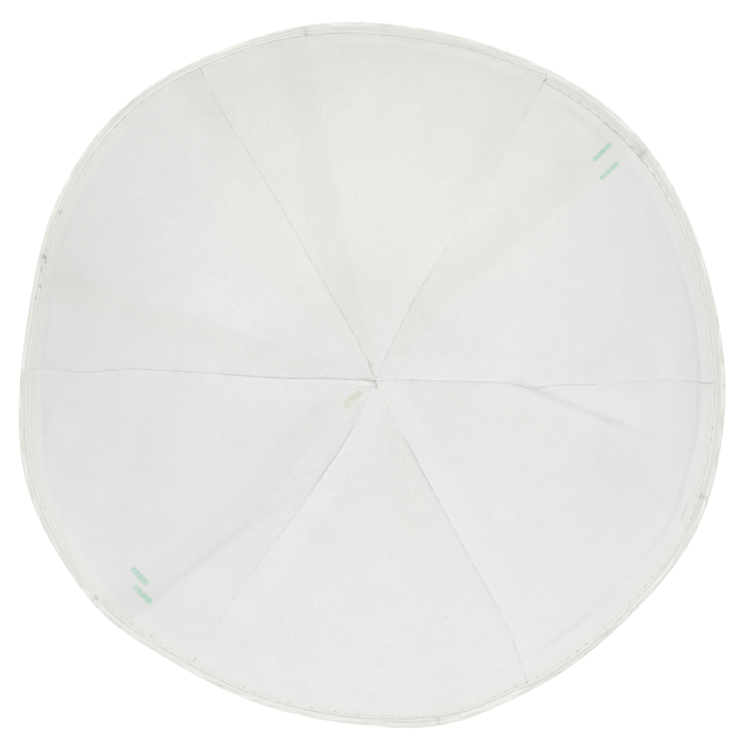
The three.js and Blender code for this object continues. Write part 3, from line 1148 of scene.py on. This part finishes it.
def lining_depth(grid, lift):
    """The depth of a lining gore's middle: over the hem or beside it, and all that stands up from it."""
    strength = read_round(HEM_RING, "lift", grid.angle)
    ring = (GORE_LENGTH - read_round(HEM_RING, "inset", grid.angle)
            + uneven("hem_ring", grid.angle * 20))
    soft_step = near_rim(grid.along, HEM_WIDTH + 10, 14)
    sharp_step = ease((grid.along - ring + 2.5) / 3.5)
    on_hem = soft_step * (1 - SHARP_SHARE * strength) + sharp_step * SHARP_SHARE * strength
    body = LINING_DEPTH + (grid.depth - LINING_DEPTH) * on_hem
    body = np.where(grid.plain > GORE_LENGTH - FLAT_EDGE, grid.depth, body)

    edge = (lapped_edge(grid.from_start, grid.proud, grid.other)
            + lapped_edge(grid.from_end, grid.next_proud, grid.next_other))
    ridge = RING_HIGH * strength * hump(grid.along - ring - 0.4, RING_WIDE)
    seam = np.maximum(np.minimum(grid.from_start, grid.from_end), 0)
    held = 1 - STITCHED_DOWN * near_rim(grid.plain, 5, 3)
    slack = ease(seam / 9) * ease(grid.along / 25) * held
    wrinkle = (uneven("broad_wrinkle", grid.x, grid.y) + uneven("fine_wrinkle", grid.x, grid.y)) * slack
    pucker = uneven("lining_pucker", grid.along, 3 * grid.index, grid.index) * np.exp(-seam / 2.5)
    ripple = (uneven("rim_ripple", grid.angle * 88, grid.along * 0.15)
              * ease((grid.along - 85) / 20) * held)
    folds = (rise_of(LINING_FOLDS, grid.x, grid.y) + crease_rise(grid.x, grid.y)
             + edge_pleat(grid.angle, grid.along) + TIP_FOLD["rise"] * grid.tip)
    shape = ALLOWANCE_HIGH * lift * (1 - on_hem) + ridge + edge + wrinkle + pucker + ripple + folds

    # The lining can sink only as far as what it lies on.
    room = body - LINING_CLOTH / 2 - under_lining(grid.along) - CLOTH_GAP
    lowest = np.clip(room, LEAST_ROOM, MOST_SAG)
    shape = np.where(shape < 0, -lowest * np.tanh(-shape / lowest), shape)
    return body + shape * (1 - grid.under)


def lining_tint(grid, dark, warm):
    """A lining gore's colour: its seams, folds and patches, and what lies under it."""
    to_end = np.maximum(grid.from_end, 0)
    white = read_table(grid.seam["laps"], "reach", "white", grid.reach)
    white = white * (1 - ease((grid.from_start - ALLOWANCE_WIDTH + 2) / 4))
    # Painted highlight on the proud lip; painted shadow line and shade where the next gore stands over.
    lip = hump(grid.from_start - 0.5, 0.6) * np.minimum(1, grid.proud / 0.3)
    line = hump(to_end, 0.35) * np.minimum(1, grid.next_other / 0.3)
    low_side = grid.next_seam["soft"] * np.exp(-to_end / 1.1)
    line = line + 1.5 * low_side * np.minimum(1, grid.next_other / 0.15)
    # Painted shade: the crease's own dark line and the wider shade on its right, and the folds' feet.
    side, run = crease_at(grid.x, grid.y)
    shadow = run * hump(side, 1.1) + 0.3 * run * ease(-side / 2 + 0.5) * ease(side / 3 + 3)
    shadow = shadow + sum(fold_shade(fold, grid.x, grid.y) for fold in LINING_FOLDS)
    # Painted highlights on the proud lip; the folded edge and the crown's tongue lighter, partly for
    # their doubled cloth and partly as painted light; less the painted shade.
    white = white + 1.2 * lip + 4.5 * near_rim(grid.plain, 0.8, 0.7) + 2 * grid.tip - shadow
    dark = dark + LINE_DARKNESS * line
    warm = warm + near_rim(grid.along, 6.5, 3)

    reach = np.hypot(grid.x - CROWN_X, grid.y - CROWN_Y)
    angle = np.degrees(np.arctan2(grid.y - CROWN_Y, grid.x - CROWN_X)) % 360
    for patch in PATCHES:
        here = (hump(degrees_from(angle, patch["at"]), patch["spread"])
                * hump(reach - patch["reach"], patch["span"]))
        warm = warm + patch["warm"] * here
        dark = dark + patch["dark"] * here
    shade = (1 - dark + WHITENESS * white - CROWN_SHADE["dark"] * hump(reach, CROWN_SHADE["span"])
             + MIDWAY_LIGHT["light"] * hump(reach - MIDWAY_LIGHT["reach"], MIDWAY_LIGHT["span"]))
    yellow = STAIN["strength"] * hump(angle - STAIN["at"], STAIN["spread"])
    yellow = yellow * hump(reach - STAIN["reach"], STAIN["span"])
    return np.stack([shade - warmth * warm - yellowness * yellow
                     for warmth, yellowness in zip(WARMTH, YELLOWNESS)], axis=-1)


def lining_gore(index):
    """One lining gore, from the crown to its folded edge on the hem and back under it."""
    grid = LiningGrid(index)
    lift, dark, warm = allowance_band(grid.x, grid.y)
    points = cap_point(grid.angle, grid.along, lining_depth(grid, lift))
    maps = {"Cloth": cut_map((grid.from_start - grid.from_end) / 2, grid.along),
            "Edge": edge_map(grid.angle, grid.along)}
    hole_depth = read_round(STITCH_LINE, "deep", grid.angle)
    piece = make_sheet(f"lining_cloth_{index + 1}", points, maps, lining_tint(grid, dark, warm),
                       hole_depth, LINING_CLOTH)
    piece.data.materials.append(lining_cloth)
    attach(piece, "root")
    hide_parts(f"lining_gore_{index + 1}")
    return piece


# ---------------------------------------------------------------- the topstitching

STITCH_RADIUS = 0.17
STITCH_LENGTH = 2.1
STITCH_RINGS = (-0.8, -0.45, 0.0, 0.45, 0.8)
STITCH_TAPER = 0.35
STITCH_DIP = 0.42
STITCH_WANDER = 0.07
STITCH_STAND = 0.10  # how far a stitch's middle stands off the cloth's face
RIM_PLACES = 2881
COUNTED_BACK = 4.0  # from the rim, the line on which the stitches are counted


def rim_table():
    """The count of stitches around the rim: angles, the count up to each, and the whole count."""
    angle = np.linspace(0, 2 * math.pi, RIM_PLACES)
    points = outer_face(angle, np.full_like(angle, GORE_LENGTH - COUNTED_BACK))
    steps = np.linalg.norm(np.diff(points, axis=0), axis=1)
    length = np.concatenate([[0], np.cumsum(steps)])
    count = round(length[-1] / STITCH_PITCH)
    return angle, length / length[-1] * count, count


RIM_ANGLE, RIM_STITCH, STITCH_COUNT = rim_table()


def lining_end(angle):
    """How far along a gore the lining's folded edge lies at an angle."""
    return GORE_LENGTH - read_round(LINING_EDGE, "short", angle)


def stitch_along(angle):
    """How far along a gore the topstitching lies at an angle."""
    return lining_end(angle) - read_round(STITCH_LINE, "inset", angle)


def edge_map(angle, along):
    """Across: the count of stitches around the rim. Up: millimetres from the stitch line."""
    turned = np.interp(angle % (2 * math.pi), RIM_ANGLE, RIM_STITCH)
    whole_turns = np.floor(angle / (2 * math.pi)) * STITCH_COUNT
    return np.stack([turned + whole_turns, along - stitch_along(angle)], axis=-1)


def one_stitch():
    """A stitch's thread, lying along X, its ends thinner and dipping into the cloth."""
    bpy.ops.object.select_all(action="DESELECT")
    bpy.ops.mesh.primitive_cylinder_add(vertices=8, radius=STITCH_RADIUS, depth=STITCH_LENGTH,
                                        end_fill_type="TRIFAN")
    stitch = bpy.context.object
    bpy.ops.object.mode_set(mode="EDIT")
    for place in STITCH_RINGS:
        bpy.ops.mesh.select_all(action="SELECT")
        bpy.ops.mesh.bisect(plane_co=(0, 0, place), plane_no=(0, 0, 1))
    bpy.ops.object.mode_set(mode="OBJECT")
    points = np.array([vertex.co[:] for vertex in stitch.data.vertices])
    faces = [list(face.vertices) for face in stitch.data.polygons]
    bpy.data.objects.remove(stitch)
    on = points[:, 2]
    taper = 1 - STITCH_TAPER * np.clip(np.abs(on) - 0.6, 0, None) / 0.45
    dip = STITCH_DIP * np.clip(np.abs(on) / (STITCH_LENGTH / 2), 0, 1) ** 3
    return np.stack([on, points[:, 0] * taper, points[:, 1] * taper - dip], axis=1), faces


def unit(ways):
    return ways / np.linalg.norm(ways, axis=1, keepdims=True)


def stitched_line(name, depth_of, outward, phase, material):
    """All the stitches of the line around the rim, on one side of the cap."""
    template, template_faces = one_stitch()
    where = (np.arange(STITCH_COUNT) + phase) % STITCH_COUNT
    angle = np.interp(where, RIM_STITCH, RIM_ANGLE)
    half = STITCH_LENGTH / 2 / RIM_RADIUS
    wander = np.random.default_rng(7).normal(0, STITCH_WANDER, (STITCH_COUNT, 2))
    before = place_on_line(angle - half, wander[:, 0], depth_of)
    after = place_on_line(angle + half, wander[:, 1], depth_of)
    middle = place_on_line(angle, wander.mean(axis=1), depth_of)
    ahead = unit(after - before)
    side = unit(np.cross(inward(angle, stitch_along(angle)) * (-1 if outward else 1), ahead))
    up = np.cross(ahead, side)
    points = (middle[:, None, :] + ahead[:, None, :] * template[None, :, :1]
              + side[:, None, :] * template[None, :, 1:2] + up[:, None, :] * template[None, :, 2:])
    faces = [[corner + number * len(template) for corner in face]
             for number in range(STITCH_COUNT) for face in template_faces]
    piece = new_piece(name, points, faces)
    outwards(piece)
    piece.data.materials.append(material)
    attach(piece, "root")
    return piece


def place_on_line(angle, wander, depth_of):
    along = stitch_along(angle) + wander
    return cap_point(angle, along, depth_of(angle, along))


def outwards(piece):
    """Turns a piece's faces outwards."""
    only(piece)
    bpy.ops.object.mode_set(mode="EDIT")
    bpy.ops.mesh.select_all(action="SELECT")
    bpy.ops.mesh.normals_make_consistent(inside=False)
    bpy.ops.object.mode_set(mode="OBJECT")


def inside_depth(angle, along):
    """On the lining, or on the hem where the line of stitches runs off the lining's edge."""
    low = TURNED_DEPTH + OUTER_CLOTH / 2 + STITCH_STAND
    high = LINING_HEM_DEPTH + LINING_CLOTH / 2 + STITCH_STAND
    return low + (high - low) * ease((lining_end(angle) - along) / 0.4)


def outside_depth(angle, along):
    return np.full_like(angle, OUTER_DEPTH - OUTER_CLOTH / 2 - STITCH_STAND)


# ---------------------------------------------------------------- the crown

# Threads that tack the gores' tips together, in plan from the crown point, with their heights over
# the lining. Each has a start, three points on its way and an end.
TACK_THREADS = table(
    "name radius route",
    ("tack_left_arm", 0.11,
     [(-1.75, 5.7, 0.0), (-1.55, 5.0, 0.2), (-1.35, 4.4, 0.2), (-1.15, 3.8, 0.2), (-1.05, 3.4, 0)]),
    ("tack_right_arm", 0.1,
     [(-0.4, 5.5, 0.0), (-0.6, 4.8, 0.2), (-0.8, 4.2, 0.2), (-1.0, 3.6, 0.2), (-1.15, 3.2, 0)]),
    ("tack_upper", 0.12,
     [(-1.1, 2.9, 0), (-0.8, 2.5, 0.25), (-0.5, 2.0, 0.25), (-0.35, 1.5, 0.2), (-0.2, 1.1, 0)]),
    ("tack_middle", 0.13,
     [(-0.5, 1.2, 0), (-0.1, 1.0, 0.3), (0.2, 0.8, 0.35), (0.5, 0.65, 0.3), (0.8, 0.7, 0)]),
    ("tack_loop", 0.09,
     [(-1.2, 0.0, 0.1), (-1.9, 0.5, 0.4), (-1.5, 1.0, 0.5), (-0.9, 0.6, 0.4), (-1.1, -0.1, 0.1)]),
    ("tack_seam_thread", 0.07,
     [(1.1, -2.0, 0.0), (1.9, -3.3, 0.1), (2.7, -4.6, 0.1), (3.4, -5.8, 0.1), (4.0, -6.8, 0)]),
    ("tack_short_loop", 0.08,
     [(-2.1, 0.3, 0.1), (-2.6, 0.8, 0.3), (-2.3, 1.2, 0.35), (-1.8, 0.9, 0.3), (-1.9, 0.3, 0.1)]),
)
# A brown thread laid where the tongue's tip leaves a dark gap: painted shade in the form of a thread.
TIP_SHADOW_THREAD = {"radius": 0.06,
             "route": [(0.2, -1.1, 0.1), (0.45, -1.3, 0.3), (0.5, -1.55, 0.35), (0.4, -1.8, 0.3),
                       (0.1, -2.0, 0.1)]}

# Loose fibres beside the crown, between two distances from its point. They scatter to the sides of
# an angle, and lean and bend at random.
FRAY = {"start": 5.2, "end": 10.2, "at": 219, "scatter": 4, "lean": 0.5, "bend": 0.35, "strands": 30,
        "shortest": 1.2, "longest": 3.0, "radius": 0.06, "low": 0.04, "high": 0.10}


def on_lining(x, y, height):
    """A point over the lining's face, from a place in plan measured from the crown point."""
    reach = max(math.hypot(x, y), 0.05)
    angle = np.array([math.atan2(y, x)])
    depth = np.array([LINING_DEPTH + LINING_CLOTH / 2 + height])
    return cap_point(angle, np.array([reach]), depth)[0]


def thread(name, route, radius, material):
    """A short thread along five points."""
    bpy.ops.object.select_all(action="DESELECT")
    bpy.ops.curve.primitive_nurbs_path_add(location=(0, 0, 0))
    strand = bpy.context.object
    strand.name = name
    for knot, place in zip(strand.data.splines[0].points, route):
        knot.co = (*(on_lining(*place) * MM), 1)
    strand.data.bevel_depth = radius * MM
    strand.data.bevel_resolution = 1
    strand.data.resolution_u = 4
    strand.data.use_fill_caps = True
    bpy.ops.object.convert(target="MESH")
    strand = bpy.context.object
    strand.data.materials.append(material)
    return strand


def joined(name, strands):
    """One piece from several threads."""
    bpy.ops.object.select_all(action="DESELECT")
    for strand in strands:
        strand.select_set(True)
    bpy.context.view_layer.objects.active = strands[0]
    bpy.ops.object.join()
    piece = bpy.context.object
    piece.name = name
    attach(piece, "root")
    return piece


def crown_fray(material):
    chance = np.random.default_rng(19)
    strands = []
    for number in range(FRAY["strands"]):
        reach = chance.uniform(FRAY["start"], FRAY["end"])
        angle = math.radians(FRAY["at"] + chance.normal(0, FRAY["scatter"]) * (1.5 - reach / 10))
        heading = angle + chance.normal(0, FRAY["lean"])
        length = chance.uniform(FRAY["shortest"], FRAY["longest"])
        route = []
        for step in range(5):
            on = (step / 4 - 0.5) * length
            bend = FRAY["bend"] * math.sin(step * 1.4 + number)
            x = reach * math.cos(angle) + on * math.cos(heading) - bend * math.sin(heading)
            y = reach * math.sin(angle) + on * math.sin(heading) + bend * math.cos(heading)
            route.append((x, y, FRAY["low"] + FRAY["high"] * math.sin(step * math.pi / 4)))
        strands.append(thread(f"fibre_{number + 1}", route, FRAY["radius"], material))
    return joined("crown_fray", strands)


# ---------------------------------------------------------------- the pieces

outer_cloth = outer_material()
lining_cloth = lining_material()
white_thread = thread_material("white_sewing_thread", (0.86, 0.855, 0.83, 1), (0.70, 0.69, 0.66, 1))
cream_thread = thread_material("cream_tack_thread", (0.91, 0.89, 0.85, 1), (0.81, 0.78, 0.71, 1))
# The brown thread stands in for the shadow gap at the crown tongue's tip.
tip_shadow_brown = thread_material("brown_thread_for_tip_shadow", (0.50, 0.44, 0.35, 1), (0.30, 0.25, 0.18, 1))
straw_fibre = thread_material("straw_fibre", (0.88, 0.88, 0.78, 1), (0.72, 0.71, 0.58, 1))

for gore in range(GORES):
    outer_gore(gore)
    lining_gore(gore)

joined("crown_tack_thread", [thread(row["name"], row["route"], row["radius"], cream_thread)
                             for row in TACK_THREADS])
joined("crown_tip_shadow_thread", [thread("tip_shadow_strand", TIP_SHADOW_THREAD["route"], TIP_SHADOW_THREAD["radius"], tip_shadow_brown)])
crown_fray(straw_fibre)

stitched_line("topstitch_inside", inside_depth, False, 0.0, white_thread)
stitched_line("topstitch_outside", outside_depth, True, 0.5, white_thread)

# ---------------------------------------------------------------- floor, lights and camera, in metres

FLOOR_RADIUS = 4.0
FLOOR_DROP = 0.0004
FLOOR_GLOW = 0.12
ROOM_LIGHT = 0.82
LIGHT_SIZE = 0.7
SOFT_LIGHTS = table(
    "name x y z power",
    ("light_overhead", 0.0, 0.0, 1.6, 3.7),
    ("light_far_low", 0.0, 1.2, 0.35, 3.5),
    ("light_near", 0.0, -1.0, 0.9, 1.47),
    ("light_near_low", 0.0, -1.2, 0.35, 0.62),
    ("light_left", -1.0, 0.0, 0.9, 0.86),
    ("light_right", 1.0, 0.0, 0.9, 0.23),
)
EYE_DISTANCE = 0.95  # over the rim
EYE_ASIDE = 0.00076  # to the right of the cap's middle
VIEW_WIDTH = 0.190125  # at the rim's height


def floor_material():
    shader = Shader("white_table")
    mottle = shader.spread(shader.noise(shader.place(), 12, 2.0), 0.3, 0.7, 0.0, 1.0)
    shader.feed(shader.surface, {
        "Base Color": shader.mix(mottle, (0.90, 0.90, 0.90, 1), (0.92, 0.92, 0.92, 1)),
        "Roughness": 0.9,
        "Emission Color": (1, 1, 1, 1),
        "Emission Strength": FLOOR_GLOW,
    })
    return shader.material


def stage():
    bpy.ops.object.select_all(action="DESELECT")
    bpy.ops.mesh.primitive_circle_add(vertices=96, radius=FLOOR_RADIUS, fill_type="NGON",
                                      location=(0, 0, -FLOOR_DROP))
    floor = bpy.context.object
    floor.name = "floor"
    bpy.ops.object.transform_apply(location=True)
    floor.data.materials.append(floor_material())
    world = bpy.data.worlds.new("pale_room")
    world.use_nodes = True
    world.node_tree.nodes["Background"].inputs["Color"].default_value = (1, 1, 1, 1)
    world.node_tree.nodes["Background"].inputs["Strength"].default_value = ROOM_LIGHT
    bpy.context.scene.world = world


def soft_light(row):
    """A round soft box that faces the cap."""
    data = bpy.data.lights.new(row["name"], "AREA")
    data.shape = "DISK"
    data.size = LIGHT_SIZE
    data.energy = row["power"]
    lamp = bpy.data.objects.new(row["name"], data)
    bpy.context.collection.objects.link(lamp)
    lamp.location = (row["x"], row["y"], row["z"])
    lamp.rotation_euler = (math.atan2(math.hypot(row["x"], row["y"]), row["z"]), 0,
                           math.atan2(row["y"], row["x"]) + math.pi / 2)


def camera():
    data = bpy.data.cameras.new("camera")
    data.angle = 2 * math.atan(VIEW_WIDTH / 2 / EYE_DISTANCE)
    data.clip_start = 0.01
    eye = bpy.data.objects.new("camera", data)
    bpy.context.collection.objects.link(eye)
    rim_height = CAD_BOX[1][2]
    eye.location = (EYE_ASIDE, 0, rim_height + EYE_DISTANCE)
    bpy.context.scene.camera = eye


stage()
for light in SOFT_LIGHTS:
    soft_light(light)
camera()
bpy.context.scene.view_settings.view_transform = "Standard"
